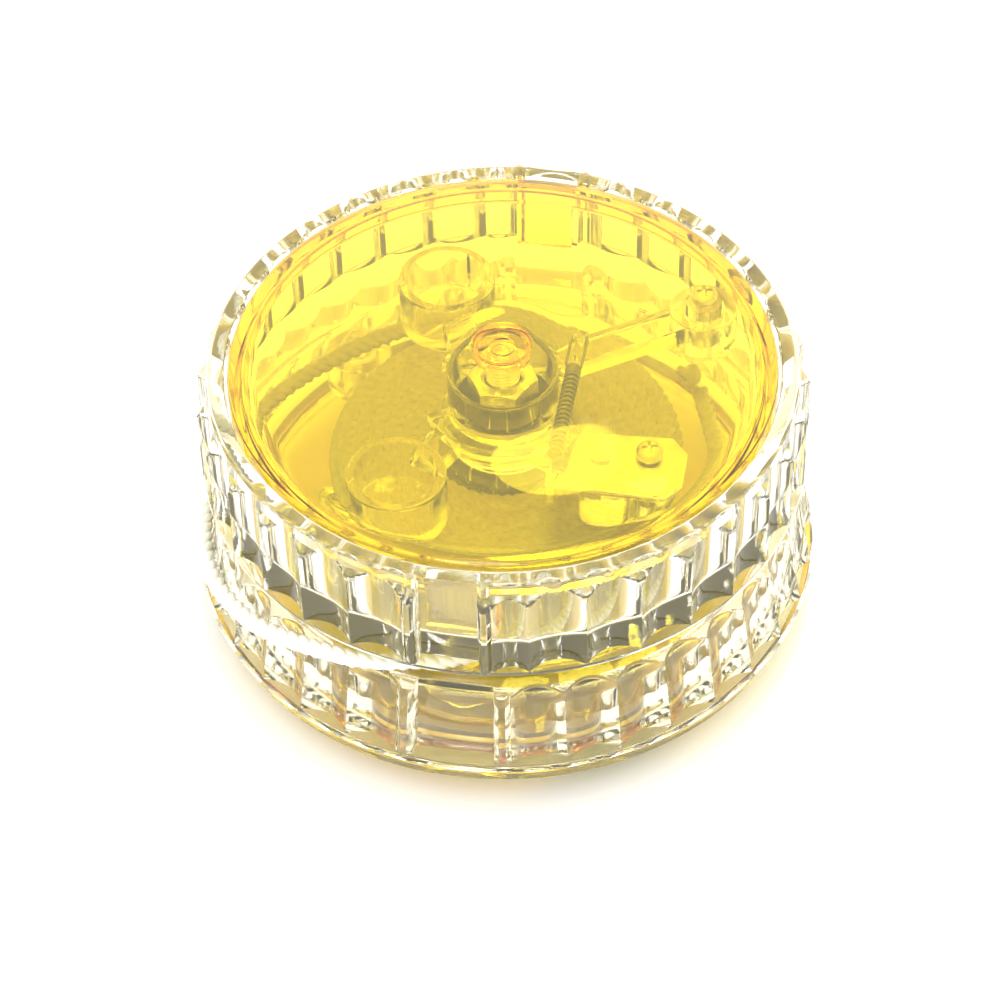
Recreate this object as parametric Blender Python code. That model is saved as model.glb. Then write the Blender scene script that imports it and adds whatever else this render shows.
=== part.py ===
"""Clear clutch yo-yo: two fluted halves with domed yellow caps on one bolted spindle.

Each half is drawn in its own frame: +Z runs outward from the string gap's middle
plane, and -Y looks out through the flat window in the fluted wall. The upper half
stands that way up and the lower half is the same frame turned over, so both
windows face the same side. World origin: middle of the lower cap's flat land.
"""

import math

import bmesh
import bpy
import numpy as np
from mathutils import Matrix, Vector

MM = 0.001

# Driving dimensions
RIDGE_R = 28.5 * MM  # sharp ridges between the flutes
RIM_R = 27.3 * MM  # outer edge of the flat rim round the cap
WALL_R = 25.7 * MM  # inside of the fluted wall
GAP_HALF = 1.6 * MM  # half of the string gap
RIM_Z = 12.7 * MM  # rim plane, from the middle of the gap
DOME = 3.2 * MM  # rise of the cap above the rim plane
CLEAR = 0.3 * MM  # gap between pieces that touch
FLOOR_Z = GAP_HALF + 2.3 * MM
APEX_Z = RIM_Z + DOME
WINDOW_TURN = math.radians(-10.5)  # the windows' bearing from -Y

# Fluted wall: each half's two windows lie opposite each other. A layout is the first
# window's bearing, where a rib starts and ends beside it, and the width of the narrow
# flute after it, in degrees, then the number of full flutes up to the other window.
UPPER_LAYOUT = (-0.7, 5.65, 8.0, 6.6, 15)
LOWER_LAYOUT = (0.0, 7.4, 10.4, 0.0, 16)
RIB_STEP = 0.1  # degrees from a rib to the first ridge
FLUTE_DEPTH = 1.3 * MM
FLUTE_STEPS = 3
WINDOW_FLAT = 27.0 * MM  # window plane, from the axle
RIB_R = 28.8 * MM
RIB_ROUND = 0.5 * MM  # how far a rib's sides stand in from its crest
UPPER_FLUTES = (2.2 * MM, RIM_Z)
LOWER_FLUTES = (0.0, 9.6 * MM)
SHELF = 0.1 * MM  # height over which a flute ends on the lip or the ledge
SHOULDER = ((10.4 * MM, RIDGE_R), (11.5 * MM, 27.45 * MM), (RIM_Z, RIM_R))
# How far each half's wall stands out from the plain one, at heights from the gap face
UPPER_FLARE = ((GAP_HALF, 0.0), (RIM_Z, 0.0))
LOWER_FLARE = ((GAP_HALF, -0.3 * MM), (LOWER_FLUTES[1], 1.1 * MM), (RIM_Z, 1.7 * MM))

# Spindle
BOLT_R = 1.5 * MM
BORE_R = BOLT_R + CLEAR
SLEEVE_R = 4.9 * MM
SLEEVE_FLANGE_R = 6.3 * MM
SLEEVE_FLANGE_Z = (0.95 * MM, GAP_HALF - CLEAR)
HUB_HOLE_R = SLEEVE_R + CLEAR
DRUM_R = 5.15 * MM
DRUM_TOP_Z = 11.0 * MM
FLANGE_R = 5.9 * MM
FLANGE_Z = (4.8 * MM, 5.8 * MM)
NUT_POCKET_R = 4.6 * MM
NUT_CORNER_R = 3.3 * MM
NUT_Z = (8.2 * MM, 10.6 * MM)
WASHER_R = 4.3 * MM
WASHER_THICK = 0.5 * MM
BOLT_TIP_Z = RIM_Z

# Cap
CAP_R = WALL_R - CLEAR
CAP_THICK = 1.2 * MM
CAP_LAND_R = 6.0 * MM
DOME_STEPS = (1.0, 0.8, 0.6, 0.4)  # radii of the dome's rings, as shares of CAP_R
SKIRT_THICK = 1.4 * MM
SKIRT_Z = RIM_Z - 3.0 * MM
TAB_HALF = 2.7 * MM
TAB_THICK = 1.2 * MM
TAB_SET_IN = 0.25 * MM  # the tab's outer face, in from the cap's edge
TAB_ROOT = 1.0 * MM  # how deep a tab starts inside the skirt
TAB_Z = 4.6 * MM
CAP_BOSS_R = 2.6 * MM
CAP_BOSS_Z = BOLT_TIP_Z + CLEAR
CAP_BOSS_DRAFT = 0.2 * MM
BOSS_HOLE_R = 1.15 * MM
BOSS_HOLE_DEEP = 0.9 * MM

# Clutch arms
FRONT_PIVOT = Vector((14.6, -7.0, 0.0)) * MM
BACK_PIVOT = Vector((16.9, 13.8, 0.0)) * MM
TUBE_CENTRE = Vector((-7.6, 12.85, 0.0)) * MM  # back tube; the front one is its mirror
TUBE_R = 4.6 * MM
TUBE_BORE_R = 3.8 * MM
TUBE_FLOOR = 1.0 * MM
ARM_LOW = FLOOR_Z + 0.4 * MM
ARM_TOP = 8.4 * MM
TUBE_TOP = 9.7 * MM
SHOE_LOW = FLANGE_Z[1] + 0.4 * MM
SHOE_R = (DRUM_R + CLEAR, 7.45 * MM)
SHOE_ARCS = {-1: (-150.0, -26.0), 1: (40.0, 150.0)}  # degrees from +X
# The bar from each arm's pivot to its shoe, and the neck from the shoe to the tube
BAR_ENDS = {
    -1: ((10.4 * MM, -8.4 * MM), (4.4 * MM, -5.4 * MM)),
    1: ((15.6 * MM, 12.93 * MM), (4.4 * MM, 5.47 * MM)),
}
NECK_ENDS = ((-3.9 * MM, 5.4 * MM), (-6.2 * MM, 10.0 * MM))
BAR_HALF = 1.6 * MM
POST_R = 1.7 * MM
POST_HOLE_R = 1.05 * MM
POST_HOLE_Z = 4.9 * MM
POST_ROOT = 0.8 * MM  # how deep a post starts inside the floor
PIVOT_BORE_R = POST_R + CLEAR
KNUCKLE_R = 3.2 * MM
BLOCK = (8.6 * MM, 17.6 * MM, -11.6 * MM, -4.4 * MM)  # low x, high x, low y, high y
BLOCK_CORNER_R = 1.6 * MM

# Lever plate, rivet, screws and spring
PLATE_Z = (ARM_TOP + CLEAR, ARM_TOP + CLEAR + 0.6 * MM)
PLATE_CORNERS = [
    (5.7, -11.7),
    (16.6, -11.7),
    (18.0, -10.0),
    (18.0, -6.2),
    (16.4, -4.4),
    (8.0, -4.9),
    (5.7, -9.9),
]  # mm
PLATE_CORNER_R = 0.35 * MM
LUG_DROP = 2.6 * MM
LUG_ENDS = ((6.15 * MM, -11.1 * MM), (6.15 * MM, -10.1 * MM))
RIVET_AT = Vector((10.2, -7.4, 0.0)) * MM
RIVET_R = 0.6 * MM
RIVET_HEAD_R = 1.15 * MM
RIVET_HEAD_TALL = 0.5 * MM
RIVET_LOW = 5.9 * MM
SCREW_R = 0.75 * MM
SCREW_HEAD_R = 1.25 * MM
SCREW_HEAD_TALL = 1.0 * MM
SPRING_X = 6.3 * MM
SPRING_Z = 10.4 * MM
SPRING_R = 0.75 * MM
SPRING_COIL = (-9.3 * MM, 1.9 * MM)
SPRING_WIRE_R = 0.2 * MM
SPRING_HOOK = 1.3 * MM  # reach of the front hook beyond the coil
SPRING_LUG = Vector((6.3, 5.6, 0.0)) * MM
SPRING_LUG_R = 0.6 * MM
SPRING_LUG_LOW = SHOE_LOW + 0.5 * MM
SPRING_LUG_TOP = 11.2 * MM

# Round pocket behind the lower window
POCKET_AT = Vector((0.3, -20.3, 0.0)) * MM
POCKET_R = 3.6 * MM
POCKET_BORE_R = 3.0 * MM
POCKET_FLOOR = FLOOR_Z + 0.6 * MM
POCKET_TOP = 9.2 * MM

# String
STRING_R = 0.85 * MM
WINDING_R = (SLEEVE_FLANGE_R + CLEAR, 17.2 * MM)
WINDING_HALF = GAP_HALF - CLEAR - 0.05 * MM
# Loose stretch: bearing from -Y towards +X in degrees, radius and height in mm,
# from the winding, out over the lower rim at the front left and back into the gap.
TAIL_ROUTE = [
    (-152, 18.5, 0.0),
    (-130, 20.0, 0.0),
    (-110, 22.8, -0.1),
    (-92, 26.2, -0.3),
    (-77, 28.9, -0.4),
    (-64, 30.4, -0.9),
    (-51, 30.2, -1.0),
    (-38, 28.9, -0.4),
    (-26, 27.4, -0.35),
    (-12, 25.0, -0.2),
    (4, 22.7, 0.0),
    (24, 21.1, 0.0),
    (50, 20.3, 0.0),
    (80, 20.0, 0.0),
    (110, 20.0, 0.0),
]
KNOT_BEARING = 116.5
KNOT_RADIUS = 20.0 * MM
KNOT_SIZE = Vector((1.9, 1.2, 1.15)) * MM

ROUND = 24  # sides of a turned piece
SMALL_ROUND = 12
CAP_ROUND = 60


def clear_scene():
    for obj in list(bpy.data.objects):
        bpy.data.objects.remove(obj, do_unlink=True)


def material(name, colour, roughness, metallic=0.0, transmission=0.0):
    mat = bpy.data.materials.new(name)
    mat.use_nodes = True
    shader = mat.node_tree.nodes["Principled BSDF"]
    shader.inputs["Base Color"].default_value = (*colour, 1.0)
    shader.inputs["Roughness"].default_value = roughness
    shader.inputs["Metallic"].default_value = metallic
    shader.inputs["Transmission Weight"].default_value = transmission
    return mat


def empty(name, location, rotation):
    frame = bpy.data.objects.new(name, None)
    bpy.context.collection.objects.link(frame)
    frame.location = location
    frame.rotation_euler = rotation
    return frame


def mesh_object(name, bm):
    """A linked object from a bmesh, with its faces turned outward."""
    bmesh.ops.recalc_face_normals(bm, faces=bm.faces)
    mesh = bpy.data.meshes.new(name)
    bm.to_mesh(mesh)
    bm.free()
    obj = bpy.data.objects.new(name, mesh)
    bpy.context.collection.objects.link(obj)
    mesh.shade_smooth()
    mesh.set_sharp_from_angle(angle=math.radians(35))
    return obj


def finish(obj, mat, parent, origin=Vector((0, 0, 0))):
    """Gives a piece its material, its origin in its parent's frame and its parent."""
    obj.data.transform(Matrix.Translation(-origin))
    obj.data.materials.clear()
    obj.data.materials.append(mat)
    obj.parent = parent
    obj.location = origin
    return obj


def combine(target, others, operation):
    """Applies one Boolean for each of the other objects, and removes them."""
    for other in others:
        cut = target.modifiers.new("combine", "BOOLEAN")
        cut.operation = operation
        cut.solver = "EXACT"
        cut.object = other
        depsgraph = bpy.context.evaluated_depsgraph_get()
        mesh = bpy.data.meshes.new_from_object(target.evaluated_get(depsgraph))
        target.modifiers.clear()
        target.data = mesh
        bpy.data.objects.remove(other, do_unlink=True)
    return target


def turned(name, profile, sides=ROUND, centre=(0.0, 0.0)):
    """A closed solid of revolution about +Z from a closed (radius, height) profile."""
    bm = bmesh.new()
    rings = []
    for radius, height in profile:
        if radius == 0.0:
            rings.append([bm.verts.new((centre[0], centre[1], height))])
            continue
        ring = []
        for i in range(sides):
            angle = math.tau * i / sides
            x = centre[0] + radius * math.cos(angle)
            y = centre[1] + radius * math.sin(angle)
            ring.append(bm.verts.new((x, y, height)))
        rings.append(ring)
    count = len(rings)
    for k in range(count):
        lower, upper = rings[k], rings[(k + 1) % count]
        if len(lower) == 1 and len(upper) == 1:
            continue
        for i in range(sides):
            j = (i + 1) % sides
            if len(lower) == 1:
                bm.faces.new((lower[0], upper[j], upper[i]))
            elif len(upper) == 1:
                bm.faces.new((lower[i], lower[j], upper[0]))
            else:
                bm.faces.new((lower[i], lower[j], upper[j], upper[i]))
    return mesh_object(name, bm)


def disc(name, radius, low, high, centre=(0.0, 0.0), sides=SMALL_ROUND):
    profile = [(0.0, low), (radius, low), (radius, high), (0.0, high)]
    return turned(name, profile, sides, centre)


def prism(name, outline, low, high):
    """A flat outline, counter-clockwise, raised from low to high."""
    bm = bmesh.new()
    face = bm.faces.new([bm.verts.new((x, y, low)) for x, y in outline])
    raised = bmesh.ops.extrude_face_region(bm, geom=[face])
    top = [v for v in raised["geom"] if isinstance(v, bmesh.types.BMVert)]
    bmesh.ops.translate(bm, verts=top, vec=(0, 0, high - low))
    return mesh_object(name, bm)


def rounded(corners, radius, steps=4):
    """A counter-clockwise outline whose convex corners are rounded by arcs."""
    points = []
    count = len(corners)
    for k in range(count):
        here = Vector(corners[k])
        to_last = (Vector(corners[k - 1]) - here).normalized()
        to_next = (Vector(corners[(k + 1) % count]) - here).normalized()
        half = to_last.angle(to_next) / 2
        middle = here + (to_last + to_next).normalized() * (radius / math.sin(half))
        start = (here + to_last * (radius / math.tan(half))) - middle
        sweep = math.pi - 2 * half
        for i in range(steps + 1):
            turn = Matrix.Rotation(sweep * i / steps, 2)
            points.append(tuple(middle + turn @ start))
    return points


def bar(name, start, end, half, low, high):
    """A straight bar with square ends between two points."""
    along = Vector((end[0] - start[0], end[1] - start[1])).normalized()
    side = Vector((-along.y, along.x)) * half
    a, b = Vector(start[:2]), Vector(end[:2])
    corners = [a - side, b - side, b + side, a + side]
    return prism(name, [tuple(c) for c in corners], low, high)


def arc_band(name, radii, from_deg, to_deg, low, high, steps=12):
    """A curved bar that follows a circle about the axle."""
    angles = np.radians(np.linspace(from_deg, to_deg, steps + 1))
    outer = [(radii[1] * math.cos(a), radii[1] * math.sin(a)) for a in angles]
    inner = [(radii[0] * math.cos(a), radii[0] * math.sin(a)) for a in reversed(angles)]
    return prism(name, outer + inner, low, high)


# Shells


def wall_columns(layout):
    """(bearing, radius where the flutes are cut) round the wall, from the first window."""
    turn, rib_from, rib_to, narrow, count = layout
    pitch = (180 - 2 * (rib_to + RIB_STEP) - narrow) / count
    rib_middle = (rib_from + rib_to) / 2
    crest = ((rib_from, RIB_R - RIB_ROUND), (rib_middle, RIB_R), (rib_to, RIB_R - RIB_ROUND))
    columns = []
    for window in (turn, turn + 180):
        for share in (-1.0, -0.5, 0.0, 0.5, 1.0):
            angle = share * rib_from * 0.97
            columns.append((window + angle, WINDOW_FLAT / math.cos(math.radians(angle))))
        columns += [(window + angle, radius) for angle, radius in crest]
        start = window + rib_to + RIB_STEP
        widths = [narrow] * (narrow > 0) + [pitch] * count
        for width in widths:
            for step in range(FLUTE_STEPS):
                share = step / FLUTE_STEPS
                sag = FLUTE_DEPTH * (width / pitch) * (1 - (2 * share - 1) ** 2)
                columns.append((start + share * width, RIDGE_R - sag))
            start += width
        columns.append((start, RIDGE_R))
        after = window + 180
        columns += [(after - angle, radius) for angle, radius in reversed(crest)]
    return [(math.radians(bearing), radius) for bearing, radius in columns]


def plain_radius(z):
    """Outside of the wall without flutes: straight, then a shoulder in to the rim."""
    heights, radii = zip(*SHOULDER)
    return float(np.interp(z, heights, radii))


def wall_radius(cut_radius, z, flutes):
    """Outside of the wall at a column: straight flutes that run out on the shoulder."""
    plain = plain_radius(z)
    if z < flutes[0] or z > flutes[1]:
        return plain
    proud = max(0.0, cut_radius - RIDGE_R)
    return min(cut_radius, plain + proud)


def flare_at(z, flare):
    heights, offsets = zip(*flare)
    return float(np.interp(z, heights, offsets))


def shell_levels(flutes):
    """Heights of the wall's rows, from the gap face to the rim."""
    levels = [GAP_HALF, 10.8 * MM, 11.2 * MM] + [height for height, _ in SHOULDER]
    if flutes[0] > 0:
        levels += [flutes[0] - SHELF, flutes[0]]
    if flutes[1] < RIM_Z:
        levels += [flutes[1], flutes[1] + SHELF]
    return sorted(set(round(level, 7) for level in levels))


def shell_body(name, layout, flutes, flare):
    columns = wall_columns(layout)
    bm = bmesh.new()
    rows = []
    for z in shell_levels(flutes):
        out = flare_at(z, flare)
        rows.append([(wall_radius(cut, z, flutes) + out, z) for _, cut in columns])
    for radius, z in (
        (WALL_R, RIM_Z),
        (WALL_R, FLOOR_Z),
        (HUB_HOLE_R, FLOOR_Z),
        (HUB_HOLE_R, GAP_HALF),
    ):
        rows.append([(radius, z)] * len(columns))
    rings = []
    for row in rows:
        ring = []
        for (bearing, _), (radius, z) in zip(columns, row):
            point = (radius * math.sin(bearing), -radius * math.cos(bearing), z)
            ring.append(bm.verts.new(point))
        rings.append(ring)
    for k, ring in enumerate(rings):
        above = rings[(k + 1) % len(rings)]
        for i in range(len(ring)):
            j = (i + 1) % len(ring)
            bm.faces.new((ring[i], ring[j], above[j], above[i]))
    return mesh_object(name, bm)


def pivot_post(name, at, top):
    return disc(name, POST_R, FLOOR_Z - POST_ROOT, top, (at.x, at.y), ROUND // 2)


def make_shell(name, wall, with_pocket):
    shell = shell_body(name, *wall)
    posts = [
        pivot_post("front_post", FRONT_PIVOT, ARM_TOP),
        pivot_post("back_post", BACK_PIVOT, PLATE_Z[1]),
    ]
    holes = []
    for at in (FRONT_PIVOT, BACK_PIVOT):
        hole = disc("post_hole", POST_HOLE_R, POST_HOLE_Z, RIM_Z, (at.x, at.y))
        holes.append(hole)
    if with_pocket:
        at = (POCKET_AT.x, POCKET_AT.y)
        low = FLOOR_Z - POST_ROOT
        posts.append(disc("pocket", POCKET_R, low, POCKET_TOP, at, ROUND))
        bore = disc("pocket_bore", POCKET_BORE_R, POCKET_FLOOR, RIM_Z, at, ROUND)
        holes.append(bore)
    combine(shell, posts, "UNION")
    return combine(shell, holes, "DIFFERENCE")


# Caps


def dome_height(radius, top):
    """The cap's outer face: a flat land in the middle, then a shallow dome."""
    share = max(0.0, (radius - CAP_LAND_R) / (CAP_R - CAP_LAND_R))
    return top - DOME * share**2


def make_cap(name, tab_bearing):
    radii = [CAP_R * r for r in DOME_STEPS] + [CAP_LAND_R]
    outer = [(r, dome_height(r, APEX_Z)) for r in radii] + [(0.0, APEX_Z)]
    under_z = APEX_Z - CAP_THICK
    inner_r = CAP_R - SKIRT_THICK
    inner = [
        (0.0, CAP_BOSS_Z + BOSS_HOLE_DEEP),
        (BOSS_HOLE_R, CAP_BOSS_Z + BOSS_HOLE_DEEP),
        (BOSS_HOLE_R, CAP_BOSS_Z),
        (CAP_BOSS_R - CAP_BOSS_DRAFT, CAP_BOSS_Z),
        (CAP_BOSS_R, under_z),
        (CAP_LAND_R, under_z),
    ]
    for share in reversed(DOME_STEPS[1:]):
        inner.append((CAP_R * share, dome_height(CAP_R * share, under_z)))
    inner.append((inner_r, dome_height(inner_r, under_z)))
    profile = outer + inner + [(inner_r, SKIRT_Z), (CAP_R, SKIRT_Z)]
    cap = turned(name, profile, CAP_ROUND)
    tabs = []
    turn = Matrix.Rotation(tab_bearing, 4, "Z")
    for sign in (-1, 1):
        outside = CAP_R - TAB_SET_IN
        near, far = sorted((sign * outside, sign * (outside - TAB_THICK)))
        outline = [(-TAB_HALF, near), (TAB_HALF, near), (TAB_HALF, far), (-TAB_HALF, far)]
        tab = prism("tab", outline, TAB_Z, SKIRT_Z + TAB_ROOT)
        tab.data.transform(turn)
        tabs.append(tab)
    return combine(cap, tabs, "UNION")


# Clutch arms


def make_arm(name, sign, mat, parent):
    """An arm that closes on the drum from -Y (sign -1) or +Y (sign 1)."""
    pivot = FRONT_PIVOT if sign < 0 else BACK_PIVOT
    tube_at = (TUBE_CENTRE.x, sign * TUBE_CENTRE.y)
    if sign < 0:
        x0, x1, y0, y1 = BLOCK
        corners = rounded([(x0, y0), (x1, y0), (x1, y1), (x0, y1)], BLOCK_CORNER_R)
        arm = prism(name, corners, ARM_LOW, ARM_TOP)
    else:
        arm = disc(name, KNUCKLE_R, ARM_LOW, ARM_TOP, (pivot.x, pivot.y), ROUND)
    neck = [(x, sign * y) for x, y in NECK_ENDS]
    bar_z = (SHOE_LOW + 0.1 * MM, ARM_TOP - 0.2 * MM)
    neck_z = (SHOE_LOW + 0.2 * MM, ARM_TOP - 0.3 * MM)
    parts = [
        bar("bar", *BAR_ENDS[sign], BAR_HALF, *bar_z),
        arc_band("shoe", SHOE_R, *SHOE_ARCS[sign], SHOE_LOW, ARM_TOP - 0.1 * MM),
        bar("neck", *neck, BAR_HALF, *neck_z),
        disc("tube", TUBE_R, ARM_LOW, TUBE_TOP, tube_at, ROUND),
    ]
    bores = [
        disc("tube_bore", TUBE_BORE_R, ARM_LOW + TUBE_FLOOR, RIM_Z, tube_at, ROUND),
        disc("pivot_bore", PIVOT_BORE_R, 0.0, RIM_Z, (pivot.x, pivot.y), ROUND // 2),
    ]
    if sign < 0:
        at = (RIVET_AT.x, RIVET_AT.y)
        bores.append(disc("rivet_bore", RIVET_R + CLEAR, RIVET_LOW - CLEAR, RIM_Z, at))
    else:
        at = (SPRING_LUG.x, SPRING_LUG.y)
        low, top = SPRING_LUG_LOW, SPRING_LUG_TOP
        parts.append(disc("spring_lug", SPRING_LUG_R, low, top, at))
    combine(arm, parts, "UNION")
    combine(arm, bores, "DIFFERENCE")
    return finish(arm, mat, parent, pivot)


def make_plate(name, mat, parent):
    corners = [(x * MM, y * MM) for x, y in PLATE_CORNERS]
    plate = prism(name, rounded(corners, PLATE_CORNER_R, 2), *PLATE_Z)
    lug = bar("lug", *LUG_ENDS, CLEAR, PLATE_Z[0] - LUG_DROP, PLATE_Z[0] + CLEAR)
    combine(plate, [lug], "UNION")
    holes = [
        disc("screw_hole", SCREW_R + CLEAR, 0.0, RIM_Z, FRONT_PIVOT[:2]),
        disc("rivet_hole", RIVET_R + CLEAR, 0.0, RIM_Z, RIVET_AT[:2]),
    ]
    combine(plate, holes, "DIFFERENCE")
    return finish(plate, mat, parent, FRONT_PIVOT)


def headed_pin(name, at, radius, head_radius, low, seat, head_tall):
    """A shank with a round head whose top edge is rolled over."""
    top = seat + head_tall
    profile = [
        (0.0, low),
        (radius, low),
        (radius, seat),
        (head_radius, seat),
        (head_radius, seat + 0.55 * head_tall),
        (head_radius * 0.72, top),
        (0.0, top),
    ]
    return turned(name, profile, SMALL_ROUND, (at.x, at.y))


def make_spring(name, mat, parent):
    """Extension spring: its coil as one rod, with a straight hook at each end."""
    low, high = SPRING_COIL
    profile = [
        (0.0, low - SPRING_HOOK),
        (SPRING_WIRE_R, low - SPRING_HOOK),
        (SPRING_WIRE_R, low),
        (SPRING_R, low),
        (SPRING_R, high),
        (SPRING_WIRE_R, high),
        (SPRING_WIRE_R, SPRING_LUG.y - SPRING_LUG_R - CLEAR),
        (0.0, SPRING_LUG.y - SPRING_LUG_R - CLEAR),
    ]
    spring = turned(name, profile, SMALL_ROUND)
    spring.data.transform(Matrix.Rotation(-math.pi / 2, 4, "X"))
    spring.data.transform(Matrix.Translation((SPRING_X, 0.0, SPRING_Z)))
    return finish(spring, mat, parent)


def make_half(side, frame, wall, tab_bearing, mats):
    shell = make_shell(f"{side}_shell", wall, side == "lower")
    finish(shell, mats["clear"], frame)
    finish(make_cap(f"{side}_cap", tab_bearing), mats["yellow"], frame)
    make_arm(f"{side}_front_arm", -1, mats["clear"], frame)
    make_arm(f"{side}_back_arm", 1, mats["clear"], frame)
    make_plate(f"{side}_lever_plate", mats["steel"], frame)
    rivet = headed_pin(
        f"{side}_lever_rivet",
        RIVET_AT,
        RIVET_R,
        RIVET_HEAD_R,
        RIVET_LOW,
        PLATE_Z[1] + CLEAR,
        RIVET_HEAD_TALL,
    )
    finish(rivet, mats["steel"], frame, FRONT_PIVOT)
    for place, at in (("front", FRONT_PIVOT), ("back", BACK_PIVOT)):
        screw = headed_pin(
            f"{side}_{place}_pivot_screw",
            at,
            SCREW_R,
            SCREW_HEAD_R,
            POST_HOLE_Z + CLEAR,
            PLATE_Z[1] + CLEAR,
            SCREW_HEAD_TALL,
        )
        finish(screw, mats["steel"], frame, at)
    make_spring(f"{side}_clutch_spring", mats["steel"], frame)


# Spindle


def make_drum(name):
    profile = [
        (BORE_R, FLANGE_Z[0]),
        (FLANGE_R, FLANGE_Z[0]),
        (FLANGE_R, FLANGE_Z[1]),
        (DRUM_R, FLANGE_Z[1]),
        (DRUM_R, DRUM_TOP_Z),
        (NUT_POCKET_R, DRUM_TOP_Z),
        (NUT_POCKET_R, NUT_Z[0] - WASHER_THICK - 2 * CLEAR),
        (BORE_R, NUT_Z[0] - WASHER_THICK - 2 * CLEAR),
    ]
    return turned(name, profile)


def ring(name, inner, outer, low, high, sides=ROUND):
    profile = [(inner, low), (outer, low), (outer, high), (inner, high)]
    return turned(name, profile, sides)


def make_nut(name):
    angles = [math.tau * i / 6 for i in range(6)]
    corners = [(NUT_CORNER_R * math.cos(a), NUT_CORNER_R * math.sin(a)) for a in angles]
    nut = prism(name, corners, *NUT_Z)
    return combine(nut, [disc("nut_bore", BORE_R, 0.0, RIM_Z)], "DIFFERENCE")


def make_spindle_end(side, frame, mats):
    finish(make_drum(f"{side}_drum"), mats["clear"], frame)
    finish(make_nut(f"{side}_nut"), mats["steel"], frame)
    top = NUT_Z[0] - CLEAR
    washer = ring(f"{side}_washer", BORE_R, WASHER_R, top - WASHER_THICK, top)
    finish(washer, mats["dark"], frame)


def smooth_route(points, per_span=4):
    """Points on a smooth curve (Catmull-Rom) through the given ones."""
    padded = [2 * points[0] - points[1]] + points + [2 * points[-1] - points[-2]]
    curve = []
    for k in range(1, len(padded) - 2):
        a, b, c, d = padded[k - 1 : k + 3]
        for i in range(per_span):
            t = i / per_span
            bend = 2 * a - 5 * b + 4 * c - d
            turn = 3 * b - a - 3 * c + d
            curve.append((2 * b + (c - a) * t + bend * t**2 + turn * t**3) / 2)
    return curve + [points[-1]]


def round_point(bearing_deg, radius, height):
    """A point given by its bearing from -Y towards +X, its radius and its height."""
    bearing = math.radians(bearing_deg)
    return Vector((radius * math.sin(bearing), -radius * math.cos(bearing), height))


def make_tail(name, mat, frame):
    route = [round_point(b, r * MM, z * MM) for b, r, z in TAIL_ROUTE]
    points = smooth_route(route)
    curve = bpy.data.curves.new(name, "CURVE")
    curve.dimensions = "3D"
    curve.bevel_depth = STRING_R
    curve.bevel_resolution = 2
    curve.use_fill_caps = True
    line = curve.splines.new("POLY")
    line.points.add(len(points) - 1)
    for place, point in zip(line.points, points):
        place.co = (*point, 1.0)
    curve.materials.append(mat)
    tail = bpy.data.objects.new(name, curve)
    bpy.context.collection.objects.link(tail)
    tail.parent = frame


def make_knot(name, mat, frame):
    bm = bmesh.new()
    bmesh.ops.create_uvsphere(bm, u_segments=12, v_segments=8, radius=1.0)
    turn = Matrix.Rotation(math.radians(KNOT_BEARING), 4, "Z")
    size = Matrix.Diagonal((*KNOT_SIZE, 1.0))
    place = Matrix.Translation(round_point(KNOT_BEARING, KNOT_RADIUS, 0.0))
    bmesh.ops.transform(bm, matrix=place @ turn @ size, verts=bm.verts)
    finish(mesh_object(name, bm), mat, frame)


def make_spindle(frame, mats):
    bolt = disc("axle_bolt", BOLT_R, -BOLT_TIP_Z, BOLT_TIP_Z)
    finish(bolt, mats["steel"], frame)
    reach = FLANGE_Z[0] - CLEAR
    low, high = SLEEVE_FLANGE_Z
    outside = [
        (SLEEVE_R, -reach),
        (SLEEVE_R, -high),
        (SLEEVE_FLANGE_R, -high),
        (SLEEVE_FLANGE_R, -low),
        (SLEEVE_R, -low),
    ]
    outside += [(radius, -height) for radius, height in reversed(outside)]
    sleeve = turned("string_sleeve", [(BORE_R, -reach)] + outside + [(BORE_R, reach)])
    finish(sleeve, mats["dark"], frame)
    winding = ring("string_winding", *WINDING_R, -WINDING_HALF, WINDING_HALF, 48)
    finish(winding, mats["string"], frame)
    make_tail("string_tail", mats["string"], frame)
    make_knot("string_knot", mats["string"], frame)


def main():
    clear_scene()
    mats = {
        "clear": material("clear_plastic", (0.95, 0.95, 0.92), 0.03, transmission=1.0),
        "yellow": material("yellow_plastic", (1.0, 0.86, 0.05), 0.03, transmission=1.0),
        "steel": material("bright_steel", (0.62, 0.61, 0.57), 0.25, metallic=1.0),
        "dark": material("dark_steel", (0.12, 0.115, 0.1), 0.3, metallic=1.0),
        "string": material("cotton", (0.93, 0.91, 0.86), 0.95),
    }
    middle = (0.0, 0.0, APEX_Z)
    upper = empty("upper_frame", middle, (0.0, 0.0, WINDOW_TURN))
    lower = empty("lower_frame", middle, (0.0, math.pi, WINDOW_TURN))
    spindle = empty("spindle_frame", middle, (0.0, 0.0, 0.0))
    upper_wall = (UPPER_LAYOUT, UPPER_FLUTES, UPPER_FLARE)
    lower_wall = (LOWER_LAYOUT, LOWER_FLUTES, LOWER_FLARE)
    make_half("upper", upper, upper_wall, 0.0, mats)
    make_half("lower", lower, lower_wall, math.pi / 2, mats)
    make_spindle_end("upper", upper, mats)
    make_spindle_end("lower", lower, mats)
    make_spindle(spindle, mats)


main()
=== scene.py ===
"""The looks of the clear clutch yo-yo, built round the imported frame.

Each half is drawn in its own frame: +Z runs outward from the middle of the string
gap, and -Y looks out through the flat window in the fluted wall. All sizes are the
part's own, in metres.
"""

import math
import random

import bmesh
import bpy
import numpy as np
from mathutils import Matrix, Vector


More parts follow.
